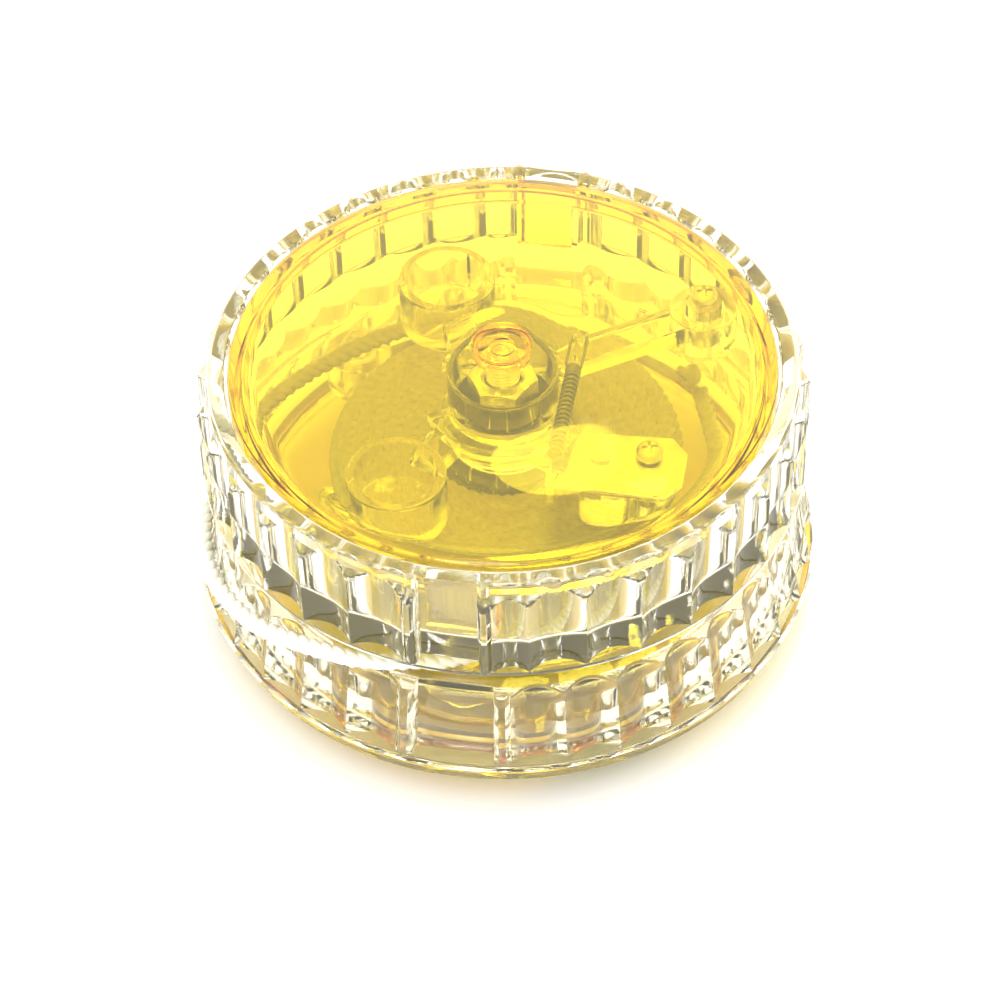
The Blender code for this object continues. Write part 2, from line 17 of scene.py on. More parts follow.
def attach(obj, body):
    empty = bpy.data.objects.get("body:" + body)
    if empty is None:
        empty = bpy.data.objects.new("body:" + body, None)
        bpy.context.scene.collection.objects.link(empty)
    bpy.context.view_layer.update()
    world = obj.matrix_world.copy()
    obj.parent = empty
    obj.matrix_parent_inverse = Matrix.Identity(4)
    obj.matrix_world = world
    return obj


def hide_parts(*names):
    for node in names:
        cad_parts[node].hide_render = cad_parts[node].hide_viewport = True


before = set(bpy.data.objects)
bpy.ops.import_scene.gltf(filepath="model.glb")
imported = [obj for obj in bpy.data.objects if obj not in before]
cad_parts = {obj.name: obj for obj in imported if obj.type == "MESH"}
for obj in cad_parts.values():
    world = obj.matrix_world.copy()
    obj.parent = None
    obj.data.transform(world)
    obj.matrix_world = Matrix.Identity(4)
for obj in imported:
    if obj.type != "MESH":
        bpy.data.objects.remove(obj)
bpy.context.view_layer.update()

MM = 0.001
DRAW = random.Random(7)  # every random choice is drawn from this

# The part's dimensions
MIDDLE = 15.9 * MM  # height of the string gap's middle plane
WINDOW_TURN = math.radians(-10.5)
UPPER = Matrix.Translation((0, 0, MIDDLE)) @ Matrix.Rotation(WINDOW_TURN, 4, "Z")
LOWER = UPPER @ Matrix.Rotation(math.pi, 4, "Y")
RIDGE_R = 28.5 * MM
RIM_R = 27.3 * MM
WALL_R = 25.7 * MM
GAP_HALF = 1.6 * MM
RIM_Z = 12.7 * MM
DOME = 3.2 * MM
CLEAR = 0.3 * MM
FLOOR_Z = GAP_HALF + 2.3 * MM
APEX_Z = RIM_Z + DOME
# A wall's layout: first window's bearing, rib beside it from and to, narrow flute after
# the rib, all in degrees, and the number of full flutes up to the opposite window
UPPER_LAYOUT = (-0.7, 5.65, 8.0, 6.6, 15)
LOWER_LAYOUT = (0.0, 7.4, 10.4, 0.0, 16)
RIB_STEP = 0.1
FLUTE_STEPS = 14
FLUTE_DEPTH = 1.15 * MM
WINDOW_FLAT = 27.0 * MM
RIB_R = 28.8 * MM
UPPER_FLUTES = (2.2 * MM, RIM_Z)
LOWER_FLUTES = (0.0, 9.6 * MM)
SHELF = 0.03 * MM
SHOULDER_Z = (10.4 * MM, 10.9 * MM, 11.4 * MM, RIM_Z)
SHOULDER_R = (RIDGE_R, 28.12 * MM, 27.5 * MM, RIM_R)
UPPER_FLARE = ((GAP_HALF, 0.0), (RIM_Z, 0.0))
LOWER_FLARE = ((GAP_HALF, -0.3 * MM), (LOWER_FLUTES[1], 1.1 * MM), (RIM_Z, 1.7 * MM))
BOLT_R = 1.5 * MM
BORE_R = 1.8 * MM
SLEEVE_R = 4.9 * MM
SLEEVE_FLANGE_R = 6.3 * MM
SLEEVE_FLANGE_Z = (0.95 * MM, 1.3 * MM)
HUB_HOLE_R = 5.2 * MM
DRUM_R = 5.15 * MM
DRUM_TOP_Z = 11.0 * MM
FLANGE_R = 5.9 * MM
FLANGE_Z = (4.8 * MM, 5.8 * MM)
NUT_POCKET_R = 4.6 * MM
NUT_CORNER_R = 3.3 * MM
NUT_Z = (8.2 * MM, 10.6 * MM)
WASHER_R = 4.3 * MM
WASHER_THICK = 0.5 * MM
CAP_R = 25.4 * MM
CAP_THICK = 1.2 * MM
CAP_LAND_R = 6.0 * MM
SKIRT_THICK = 1.4 * MM
SKIRT_Z = 9.7 * MM
TAB_HALF = 2.7 * MM
TAB_THICK = 1.2 * MM
TAB_Z = 4.6 * MM
BOSS_R = 2.6 * MM
BOSS_Z = 13.0 * MM
FRONT_PIVOT = Vector((14.6, -7.0)) * MM
BACK_PIVOT = Vector((16.9, 13.8)) * MM
TUBE_CENTRE = Vector((-7.6, 12.85)) * MM
TUBE_R = 4.6 * MM
TUBE_BORE_R = 3.8 * MM
ARM_LOW = 4.3 * MM
ARM_TOP = 8.4 * MM
TUBE_TOP = 9.7 * MM
SHOE_LOW = 6.2 * MM
SHOE_R = (5.45 * MM, 7.45 * MM)
POST_R = 1.7 * MM
POST_HOLE_R = 1.05 * MM
POST_HOLE_Z = 4.9 * MM
PIVOT_BORE_R = 2.0 * MM
KNUCKLE_R = 3.2 * MM
BLOCK = (8.6 * MM, 17.6 * MM, -11.6 * MM, -4.4 * MM)
BAR_HALF = 1.6 * MM
PLATE_Z = (8.7 * MM, 9.3 * MM)
RIVET_AT = Vector((10.2, -7.4)) * MM
SPRING_LUG = Vector((6.3, 5.6)) * MM
SPRING_Z = 10.4 * MM
SPRING_RING_R = 0.62 * MM
SPRING_WIRE_R = 0.135 * MM
SPRING_BACK_Y = 1.9 * MM
SPRING_PITCHES = [0.26 * MM] * 4 + [0.56 * MM] * 18
SCREW_HEAD_R = 1.25 * MM
SCREW_HEAD_TALL = 1.0 * MM
SCREW_SHANK_R = 0.75 * MM
SCREW_PITCH = 0.5 * MM
RIVET_BORE_R = 0.9 * MM
PLATE_LUG_X = 6.15 * MM
POCKET_AT = Vector((0.3, -20.3)) * MM
POCKET_R = 3.6 * MM
POCKET_BORE_R = 3.0 * MM
POCKET_TOP = 9.2 * MM
POCKET_FLOOR = 0.6 * MM  # floor of the pocket above the shell's floor
STRING_R = 0.85 * MM
KNOT_BEARING = 116.5
KNOT_OUT = 20.0 * MM

# The string's loose stretch: bearing from -Y towards +X in degrees, radius, height
TAIL_ROUTE = [
    (-152, 18.5, 0.0),
    (-130, 20.0, 0.0),
    (-110, 22.8, -0.1),
    (-92, 26.2, -0.3),
    (-77, 28.9, -0.4),
    (-64, 30.4, -0.9),
    (-51, 30.2, -1.0),
    (-38, 28.9, -0.4),
    (-26, 27.4, -0.35),
    (-12, 25.0, -0.2),
    (4, 22.7, 0.0),
    (24, 21.1, 0.0),
    (50, 20.3, 0.0),
    (80, 20.0, 0.0),
    (110, 20.0, 0.0),
]


# Camera


def add_camera():
    """Looks down on the yo-yo from the front, nearly 46 degrees above the table."""
    reach, height, lean = 0.308, math.radians(45.65), math.radians(47.2)
    roll = math.radians(1.4)
    swing = math.radians(-0.12)
    place = Vector((0, -reach * math.cos(height), 0.022 + reach * math.sin(height)))
    ahead = Vector(
        (
            math.sin(swing) * math.cos(lean),
            math.cos(swing) * math.cos(lean),
            -math.sin(lean),
        )
    )
    right = Vector((math.cos(swing), -math.sin(swing), 0))
    up = right.cross(ahead)
    turned_right = right * math.cos(roll) - up * math.sin(roll)
    turned_up = right * math.sin(roll) + up * math.cos(roll)
    camera = bpy.data.objects.new("camera", bpy.data.cameras.new("camera"))
    bpy.context.collection.objects.link(camera)
    camera.data.sensor_width = 36
    camera.data.lens = 118.2
    camera.data.clip_start = 0.01
    rotation = Matrix((turned_right, turned_up, -ahead)).transposed()
    camera.matrix_world = Matrix.Translation(place) @ rotation.to_4x4()
    bpy.context.scene.camera = camera


add_camera()


# Mesh helpers


def linked(name, mesh, angle=35):
    mesh.shade_smooth()
    mesh.set_sharp_from_angle(angle=math.radians(angle))
    obj = bpy.data.objects.new(name, mesh)
    bpy.context.collection.objects.link(obj)
    return obj


def from_bmesh(name, bm, angle=35):
    bmesh.ops.recalc_face_normals(bm, faces=bm.faces)
    mesh = bpy.data.meshes.new(name)
    bm.to_mesh(mesh)
    bm.free()
    return linked(name, mesh, angle)


def combine(target, others, operation, angle=35):
    for other in others:
        cut = target.modifiers.new("combine", "BOOLEAN")
        cut.operation = operation
        cut.solver = "EXACT"
        cut.object = other
        depsgraph = bpy.context.evaluated_depsgraph_get()
        mesh = bpy.data.meshes.new_from_object(target.evaluated_get(depsgraph))
        target.modifiers.clear()
        target.data = mesh
        bpy.data.objects.remove(other, do_unlink=True)
    target.data.shade_smooth()
    target.data.set_sharp_from_angle(angle=math.radians(angle))
    return target


def eased(profile, steps=3):
    """A closed profile of (radius, height, easing) whose corners are rounded."""
    out = []
    count = len(profile)
    for k in range(count):
        x, y, ease = profile[k]
        here = Vector((x, y))
        before = Vector(profile[k - 1][:2]) - here
        after = Vector(profile[(k + 1) % count][:2]) - here
        reach = min(ease, 0.45 * before.length, 0.45 * after.length)
        if reach < 1e-6:
            out.append((x, y))
            continue
        a = here + before.normalized() * reach
        b = here + after.normalized() * reach
        for i in range(steps + 1):
            t = i / steps
            point = a * (1 - t) ** 2 + here * (2 * t * (1 - t)) + b * t**2
            out.append((point.x, point.y))
    return out


def turned(name, profile, sides=64, centre=(0.0, 0.0)):
    """A closed solid of revolution about +Z from a closed (radius, height) profile."""
    bm = bmesh.new()
    rings = []
    for radius, height in profile:
        if radius < 1e-9:
            rings.append([bm.verts.new((centre[0], centre[1], height))])
            continue
        ring = []
        for i in range(sides):
            angle = math.tau * i / sides
            x = centre[0] + radius * math.cos(angle)
            y = centre[1] + radius * math.sin(angle)
            ring.append(bm.verts.new((x, y, height)))
        rings.append(ring)
    for k, lower in enumerate(rings):
        upper = rings[(k + 1) % len(rings)]
        if len(lower) == 1 and len(upper) == 1:
            continue
        for i in range(sides):
            j = (i + 1) % sides
            if len(lower) == 1:
                bm.faces.new((lower[0], upper[j], upper[i]))
            elif len(upper) == 1:
                bm.faces.new((lower[i], lower[j], upper[0]))
            else:
                bm.faces.new((lower[i], lower[j], upper[j], upper[i]))
    return from_bmesh(name, bm)


def disc(name, radius, low, high, centre=(0.0, 0.0), ease=0.0, sides=48):
    profile = [(0, low, 0), (radius, low, ease), (radius, high, ease), (0, high, 0)]
    return turned(name, eased(profile), sides, centre)


def inset(outline, amount):
    """A counter-clockwise outline moved inward."""
    points = [Vector(p) for p in outline]
    count = len(points)
    out = []
    for k in range(count):
        into = (points[k] - points[k - 1]).normalized()
        away = (points[(k + 1) % count] - points[k]).normalized()
        n1, n2 = Vector((-into.y, into.x)), Vector((-away.y, away.x))
        normal = (n1 + n2).normalized()
        out.append(points[k] + normal * (amount / max(0.5, normal.dot(n1))))
    return out


def slab(name, outline, low, high, ease=0.15 * MM):
    """A flat outline raised from low to high, with rounded top and bottom edges."""
    bm = bmesh.new()
    levels = [(ease, low), (0.3 * ease, low + 0.3 * ease), (0.0, low + ease)]
    levels += [(0.0, high - ease), (0.3 * ease, high - 0.3 * ease), (ease, high)]
    rings = []
    for amount, z in levels:
        rings.append([bm.verts.new((p.x, p.y, z)) for p in inset(outline, amount)])
    for lower, upper in zip(rings, rings[1:]):
        for i in range(len(lower)):
            j = (i + 1) % len(lower)
            bm.faces.new((lower[i], lower[j], upper[j], upper[i]))
    bm.faces.new(rings[0])
    bm.faces.new(rings[-1])
    return from_bmesh(name, bm)


def rounded(corners, radius, steps=6):
    points = []
    count = len(corners)
    for k in range(count):
        here = Vector(corners[k])
        to_last = (Vector(corners[k - 1]) - here).normalized()
        to_next = (Vector(corners[(k + 1) % count]) - here).normalized()
        half = to_last.angle(to_next) / 2
        middle = here + (to_last + to_next).normalized() * (radius / math.sin(half))
        start = (here + to_last * (radius / math.tan(half))) - middle
        for i in range(steps + 1):
            turn = Matrix.Rotation((math.pi - 2 * half) * i / steps, 2)
            points.append(tuple(middle + turn @ start))
    return points


def bar(name, start, end, half, low, high, ease=0.15 * MM):
    a, b = Vector(start), Vector(end)
    along = (b - a).normalized()
    side = Vector((-along.y, along.x)) * half
    return slab(name, [a - side, b - side, b + side, a + side], low, high, ease)


def arc_band(name, radii, from_deg, to_deg, low, high):
    angles = np.radians(np.linspace(from_deg, to_deg, 49))
    outer = [(radii[1] * math.cos(a), radii[1] * math.sin(a)) for a in angles]
    inner = [(radii[0] * math.cos(a), radii[0] * math.sin(a)) for a in angles[::-1]]
    return slab(name, outer + inner, low, high, 0.12 * MM)


def frames_along(points):
    """Unit tangents and two steady normals at each point of a path."""
    points = np.asarray(points)
    tangents = np.gradient(points, axis=0)
    tangents /= np.linalg.norm(tangents, axis=1)[:, None]
    normal = np.cross(tangents[0], (0.0, 0.0, 1.0))
    if np.linalg.norm(normal) < 1e-3:
        normal = np.cross(tangents[0], (1.0, 0.0, 0.0))
    normals = []
    for tangent in tangents:
        normal = normal - tangent * normal.dot(tangent)
        normal /= np.linalg.norm(normal)
        normals.append(normal)
    normals = np.array(normals)
    return tangents, normals, np.cross(tangents, normals)


def tube_geometry(points, radius, sides):
    """Vertices and faces of a closed tube; radius is one number or one for each point."""
    points = np.asarray(points)
    _, normals, sideways = frames_along(points)
    radius = np.broadcast_to(radius, len(points))
    angles = np.arange(sides) * math.tau / sides
    ring = (
        normals[:, None] * np.cos(angles)[None, :, None]
        + sideways[:, None] * np.sin(angles)[None, :, None]
    )
    verts = (points[:, None] + ring * radius[:, None, None]).reshape(-1, 3)
    faces = []
    for k in range(len(points) - 1):
        for i in range(sides):
            j = (i + 1) % sides
            a, b = k * sides, (k + 1) * sides
            faces.append((a + i, a + j, b + j, b + i))
    faces.append(tuple(range(sides))[::-1])
    last = (len(points) - 1) * sides
    faces.append(tuple(range(last, last + sides)))
    return verts, faces


def tubes(name, parts):
    """One mesh of several closed tubes, each (points, radius, sides)."""
    all_verts, all_faces = [], []
    base = 0
    for points, radius, sides in parts:
        verts, faces = tube_geometry(points, radius, sides)
        all_verts.append(verts)
        all_faces += [tuple(base + i for i in face) for face in faces]
        base += len(verts)
    mesh = bpy.data.meshes.new(name)
    mesh.from_pydata(np.concatenate(all_verts).tolist(), [], all_faces)
    bm = bmesh.new()
    bm.from_mesh(mesh)
    bpy.data.meshes.remove(mesh)
    return from_bmesh(name, bm, 60)


def threaded(name, radius, depth, pitch, spans, low, high, centre=(0, 0), sides=28):
    """A rod whose surface carries a helical thread inside each (from, to) span."""
    steps = max(8, int((high - low) / (pitch / 8)))
    bm = bmesh.new()
    rings = []
    for z in np.linspace(low, high, steps + 1):
        ring = []
        cut = any(a <= z <= b for a, b in spans)
        end = min(z - low, high - z, depth) - depth
        for i in range(sides):
            angle = math.tau * i / sides
            phase = (z / pitch - i / sides) % 1.0
            groove = depth * (1 - abs(2 * phase - 1)) if cut else 0.0
            r = radius - max(groove, -end)
            point = (centre[0] + r * math.cos(angle), centre[1] + r * math.sin(angle), z)
            ring.append(bm.verts.new(point))
        rings.append(ring)
    for lower, upper in zip(rings, rings[1:]):
        for i in range(sides):
            j = (i + 1) % sides
            bm.faces.new((lower[i], lower[j], upper[j], upper[i]))
    bm.faces.new(rings[0])
    bm.faces.new(rings[-1])
    return from_bmesh(name, bm)


# Materials


class Nodes:
    """Short hand for making a material's nodes."""

    def __init__(self, name):
        self.mat = bpy.data.materials.new(name)
        self.mat.use_nodes = True
        self.tree = self.mat.node_tree
        self.shader = self.tree.nodes["Principled BSDF"]
        self.out = self.tree.nodes["Material Output"]
        self.coords = self.tree.nodes.new("ShaderNodeTexCoord").outputs["Object"]

    def add(self, kind, **values):
        node = self.tree.nodes.new(kind)
        for key, value in values.items():
            if hasattr(node, key):
                setattr(node, key, value)
            else:
                node.inputs[key.replace("_", " ")].default_value = value
        return node

    def join(self, a, b):
        self.tree.links.new(a, b)

    def set(self, **values):
        for key, value in values.items():
            self.shader.inputs[key.replace("_", " ")].default_value = value

    def noise(self, scale, detail=4.0, stretch=None):
        node = self.add("ShaderNodeTexNoise", Scale=scale, Detail=detail)
        if stretch:
            mapping = self.add("ShaderNodeMapping")
            mapping.inputs["Scale"].default_value = stretch
            self.join(self.coords, mapping.inputs["Vector"])
            self.join(mapping.outputs["Vector"], node.inputs["Vector"])
        else:
            self.join(self.coords, node.inputs["Vector"])
        return node.outputs["Fac"]

    def ramp(self, source, stops):
        node = self.add("ShaderNodeValToRGB")
        line = node.color_ramp.elements
        while len(line) < len(stops):
            line.new(0.5)
        for element, (place, colour) in zip(line, stops):
            element.position = place
            element.color = (*colour, 1.0) if len(colour) == 3 else colour
        self.join(source, node.inputs["Fac"])
        return node.outputs["Color"]

    def bump(self, height, strength, distance):
        node = self.add("ShaderNodeBump", Strength=strength, Distance=distance)
        self.join(height, node.inputs["Height"])
        self.join(node.outputs["Normal"], self.shader.inputs["Normal"])

    def roughness(self, source, low, high):
        node = self.add("ShaderNodeMapRange")
        node.inputs["To Min"].default_value = low
        node.inputs["To Max"].default_value = high
        self.join(source, node.inputs["Value"])
        self.join(node.outputs["Result"], self.shader.inputs["Roughness"])


def grey(value):
    return (value, value, value)


def clear_plastic(name, tint, ior, smear, clearness, shade):
    """Polished see-through moulding: lamps shine through it, and it has flow marks."""
    m = Nodes(name)
    m.set(Base_Color=(*tint, 1.0), Transmission_Weight=clearness, IOR=ior)
    m.roughness(m.noise(260, 5.0), 0.0, 0.05)
    m.bump(m.noise(90, 2.0), smear, 0.0004)
    through = m.add("ShaderNodeBsdfTransparent")
    through.inputs["Color"].default_value = (*shade, 1.0)
    mix = m.add("ShaderNodeMixShader")
    path = m.add("ShaderNodeLightPath")
    m.join(path.outputs["Is Shadow Ray"], mix.inputs["Fac"])
    m.join(m.shader.outputs["BSDF"], mix.inputs[1])
    m.join(through.outputs["BSDF"], mix.inputs[2])
    m.join(mix.outputs["Shader"], m.out.inputs["Surface"])
    return m


def tinted(m, colour, density):
    volume = m.add("ShaderNodeVolumeAbsorption")
    volume.inputs["Color"].default_value = (*colour, 1.0)
    volume.inputs["Density"].default_value = density
    m.join(volume.outputs["Volume"], m.out.inputs["Volume"])


def steel(name, colour, roughness, brushed):
    m = Nodes(name)
    m.set(Metallic=1.0)
    grain = m.noise(900, 3.0, brushed)
    tone = m.ramp(
        m.noise(320, 4.0),
        [(0.3, [c * 0.85 for c in colour]), (0.7, [min(1, c * 1.1) for c in colour])],
    )
    m.join(tone, m.shader.inputs["Base Color"])
    m.roughness(grain, roughness * 0.7, roughness * 1.4)
    m.bump(grain, 0.12, 0.00004)
    return m.mat


def scratched_steel(name):
    """Dark blued steel with fine bright scratches in every direction; on the washers under the
    nuts its dark tone is painted shade.
    """
    m = Nodes(name)
    m.set(Metallic=0.9)
    marks = None
    for turn, scale in ((0.4, 700), (1.3, 900), (2.4, 600)):
        mapping = m.add("ShaderNodeMapping")
        mapping.inputs["Rotation"].default_value = (turn, 0.6 * turn, turn)
        mapping.inputs["Scale"].default_value = (1.0, 0.04, 1.0)
        m.join(m.coords, mapping.inputs["Vector"])
        lines = m.add("ShaderNodeTexNoise", Scale=scale * 2.2, Detail=2.0)
        m.join(mapping.outputs["Vector"], lines.inputs["Vector"])
        thin = m.ramp(lines.outputs["Fac"], [(0.66, grey(0)), (0.72, grey(1))])
        if marks is None:
            marks = thin
        else:
            both = m.add("ShaderNodeMath", operation="MAXIMUM")
            m.join(marks, both.inputs[0])
            m.join(thin, both.inputs[1])
            marks = both.outputs["Value"]
    # The dark end of this ramp is also the painted shade of the washers under the nuts.
    tone = m.ramp(marks, [(0.0, (0.06, 0.055, 0.04)), (1.0, (0.8, 0.78, 0.7))])
    m.join(tone, m.shader.inputs["Base Color"])
    m.roughness(m.noise(400), 0.22, 0.45)
    m.bump(marks, 0.2, 0.00003)
    return m.mat


def cotton(name):
    m = Nodes(name)
    m.set(Sheen_Weight=0.6, Sheen_Roughness=0.5, Roughness=0.95)
    m.set(Subsurface_Weight=0.25, Subsurface_Scale=0.0006)
    tone = m.ramp(
        m.noise(1500, 6.0),
        [(0.25, (0.80, 0.77, 0.68)), (0.55, (0.95, 0.93, 0.88)), (0.8, (1.0, 0.99, 0.97))],
    )
    m.join(tone, m.shader.inputs["Base Color"])
    m.bump(m.noise(4200, 6.0), 0.5, 0.00008)
    return m.mat


# CLEAR_SHADE is the colour lamp light takes through the clear mouldings, and it is far yellower
# than the clear plastic. It paints a yellow glow on the table under the yo-yo and inside its
# lower half.
CLEAR_SHADE = (0.995, 0.96, 0.52)
CLEAR_PLASTIC = clear_plastic(
    "clear_moulding", (1.0, 0.995, 0.96), 1.5, 0.05, 0.965, CLEAR_SHADE
)
# The lower shell is clear plastic like the upper one. Its golden tint is painted light: the
# yellow light that reaches it through the lower cap and off the shaded table.
LOWER_PLASTIC = clear_plastic(
    "clear_moulding_painted_gold", (1.0, 0.96, 0.76), 1.5, 0.05, 0.965, CLEAR_SHADE
)
ARM_PLASTIC = clear_plastic(
    "clear_arm_moulding", (1.0, 1.0, 0.98), 1.46, 0.08, 0.97, CLEAR_SHADE
)
YELLOW_PLASTIC = clear_plastic(
    "yellow_moulding", (1.0, 0.95, 0.34), 1.5, 0.03, 0.97, (1.0, 0.96, 0.5)
)
tinted(YELLOW_PLASTIC, (0.995, 0.94, 0.06), 1450.0)
MATERIALS = {
    "clear": (CLEAR_PLASTIC.mat, "clear_plastic"),
    "clear_painted_gold": (LOWER_PLASTIC.mat, "clear_plastic"),
    "arm": (ARM_PLASTIC.mat, "clear_plastic"),
    "yellow": (YELLOW_PLASTIC.mat, "yellow_plastic"),
    "steel": (steel("bright_zinc", (0.8, 0.78, 0.72), 0.24, (1, 1, 14)), "bright_steel"),
    "mirror": (steel("polished_steel", (0.97, 0.97, 0.95), 0.09, (1, 1, 14)), "bright_steel"),
    "wire": (steel("spring_wire", (0.26, 0.25, 0.2), 0.3, None), "spring_steel"),
    "dark": (scratched_steel("dark_scratched_steel_and_painted_shade"), "dark_steel"),
    "cotton": (cotton("white_cotton"), "cotton_string"),
}


def place(obj, matrix, finish, body, *nodes):
    """Puts a piece into the part's frame, on its body, in the place of its CAD node."""
    obj.data.transform(matrix)
    obj.data.materials.clear()
    obj.data.materials.append(MATERIALS[finish][0])
    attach(obj, body)
    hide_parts(*nodes)
    return obj


# String


def round_point(bearing, radius, height):
    """A point from its bearing from -Y towards +X, in degrees, in the part's frame."""
    a = math.radians(bearing)
    return np.array((radius * math.sin(a), -radius * math.cos(a), MIDDLE + height))


def smooth_route(points, per_span):
    points = [np.asarray(p) for p in points]
    padded = [2 * points[0] - points[1]] + points + [2 * points[-1] - points[-2]]
    curve = []
    for k in range(1, len(padded) - 2):
        a, b, c, d = padded[k - 1 : k + 3]
        for i in range(per_span):
            t = i / per_span
            bend = 2 * a - 5 * b + 4 * c - d
            turn = 3 * b - a - 3 * c + d
            curve.append((2 * b + (c - a) * t + bend * t**2 + turn * t**3) / 2)
    return curve + [points[-1]]


def resample(points, step):
    points = np.asarray(points)
    along = np.concatenate(([0], np.cumsum(np.linalg.norm(np.diff(points, axis=0), axis=1))))
    count = int(along[-1] / step) + 1
    places = np.linspace(0, along[-1], count)
    return np.stack([np.interp(places, along, points[:, i]) for i in range(3)], 1)


WIND_TURNS = 12.0
WIND_END = -194.0  # bearing at which the winding hands over to the loose stretch
WIND_R = (7.45 * MM, 16.3 * MM)
WIND_Z = 0.68 * MM


def wound_points():
    """Two wraps lie side by side in the gap, and every second wrap climbs outward."""
    points = []
    count = int(WIND_TURNS * 30)
    for k in range(count):
        t = k / count
        turns = t * WIND_TURNS
        radius = WIND_R[0] + (WIND_R[1] - WIND_R[0]) * t
        phase = (turns % 2.0) / 2.0
        swing = math.sin(math.tau * phase)
        height = WIND_Z * math.copysign(min(1.0, abs(swing) * 1.6), swing)
        fade = min(1.0, (WIND_TURNS - turns) / 0.2)
        bearing = WIND_END - (WIND_TURNS - turns) * 360
        points.append(round_point(bearing, radius, height * fade))
    return points


def string_line():
    tail = [round_point(b, r * MM, z * MM) for b, r, z in TAIL_ROUTE]
    return wound_points(), smooth_route([round_point(-174, 17.3 * MM, 0)] + tail, 10)


def plies(points, twist, offset, radius, sides, count=3):
    """Strands laid round a line, as (points, radius, sides)."""
    _, normals, sideways = frames_along(points)
    along = np.concatenate(([0], np.cumsum(np.linalg.norm(np.diff(points, axis=0), axis=1))))
    strands = []
    for k in range(count):
        phase = (along / twist + k / count) * math.tau
        swell = 1 + 0.06 * np.sin(along / (3.7 * MM) + k)
        ring = normals * np.cos(phase)[:, None] + sideways * np.sin(phase)[:, None]
        strands.append((points + ring * (offset * swell)[:, None], radius, sides))
    return strands


def fuzz(points, count):
    """Short loose fibres that stand off the string."""
    tangents, normals, sideways = frames_along(points)
    hairs = []
    for _ in range(count):
        k = DRAW.randrange(2, len(points) - 2)
        angle = DRAW.uniform(0, math.tau)
        out = normals[k] * math.cos(angle) + sideways[k] * math.sin(angle)
        lean = tangents[k] * DRAW.uniform(-0.9, 0.9)
        length = DRAW.uniform(0.35, 0.85) * MM
        curl = np.array([DRAW.uniform(-0.5, 0.5) for _ in range(3)])
        root = points[k] + out * (STRING_R * 0.8)
        hair = []
        for i in range(5):
            t = i / 4
            hair.append(root + (out * (t - 0.45 * t * t) + lean * t + curl * t * t) * length)
        hairs.append((np.array(hair), np.linspace(0.026, 0.01, 5) * MM, 3))
    return hairs


def add_string():
    wound, tail = string_line()
    line = resample(wound + tail, 0.5 * MM)
    string = tubes("string_rope", plies(line, 3.4 * MM, 0.42 * MM, 0.45 * MM, 7))
    place(string, Matrix(), "cotton", "spindle", "string_winding", "string_tail")
    loose = resample(smooth_route([np.asarray(p) for p in tail[::6]], 6), 0.3 * MM)
    hairs = tubes("string_fuzz", fuzz(loose, 900))
    hairs.data.materials.append(MATERIALS["cotton"][0])
    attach(hairs, "spindle")
    angles = np.linspace(0, math.tau, 90, endpoint=False)
    knot = []
    for a in angles:
        x = (math.sin(a) + 1.6 * math.sin(2 * a)) * 0.46
        y = (math.cos(a) - 1.6 * math.cos(2 * a)) * 0.3
        knot.append(np.array((x, y, -0.42 * math.sin(3 * a))) * MM)
    knot.append(knot[0])
    lumps = tubes("string_slip_knot", [(np.array(knot), 0.42 * MM, 10)])
    turn = Matrix.Rotation(math.radians(KNOT_BEARING), 4, "Z")
    at = Matrix.Translation(round_point(KNOT_BEARING, KNOT_OUT, 0.0))
    place(lumps, at @ turn, "cotton", "spindle", "string_knot")


add_string()


# Shells


def wall_columns(layout):
    """(bearing, radius where the flutes are cut) round the wall, from the first window."""
    turn, rib_from, rib_to, narrow, count = layout
    pitch = (180 - 2 * (rib_to + RIB_STEP) - narrow) / count
    crest = []
    for share in (0.0, 0.12, 0.3, 0.5, 0.7, 0.88, 1.0):
        radius = RIB_R - 0.6 * MM * abs(2 * share - 1) ** 3
        crest.append((rib_from + (rib_to - rib_from) * share, radius))
    columns = []
    for window in (turn, turn + 180):
        for angle in np.linspace(-1, 1, 25) * rib_from * 0.985:
            columns.append((window + angle, WINDOW_FLAT / math.cos(math.radians(angle))))
        columns += [(window + angle, radius) for angle, radius in crest]
        start = window + rib_to + RIB_STEP
        widths = [narrow] * (narrow > 0) + [pitch] * count
        for width in widths:
            for step in range(FLUTE_STEPS):
                share = step / FLUTE_STEPS
                sag = FLUTE_DEPTH * (width / pitch) * (1 - (2 * share - 1) ** 2)
                columns.append((start + share * width, RIDGE_R - sag))
            start += width
        columns.append((start, RIDGE_R))
        after = window + 180
        columns += [(after - angle, radius) for angle, radius in reversed(crest)]
    return [(math.radians(bearing), radius) for bearing, radius in columns]


def wall_radius(cut_radius, z, flutes):
    """Outside of the wall at a column: straight flutes that run out on the shoulder."""
    plain = float(np.interp(z, SHOULDER_Z, SHOULDER_R))
    if z < flutes[0] or z > flutes[1]:
        return plain
    return min(cut_radius, plain + max(0.0, cut_radius - RIDGE_R))


def shell_levels(flutes):
    """Heights of the wall's rows above the lip of the gap face."""
    levels = [4 * MM, 6 * MM, 8 * MM]
    if flutes[0] > 0:
        levels += [flutes[0] - SHELF, flutes[0]]
    if flutes[1] < RIM_Z:
        levels += [flutes[1], flutes[1] + SHELF]
    levels += list(np.linspace(SHOULDER_Z[0], SHOULDER_Z[2], 13))
    levels += [RIM_Z - 0.8 * MM, RIM_Z - 0.25 * MM]
    return sorted(levels)


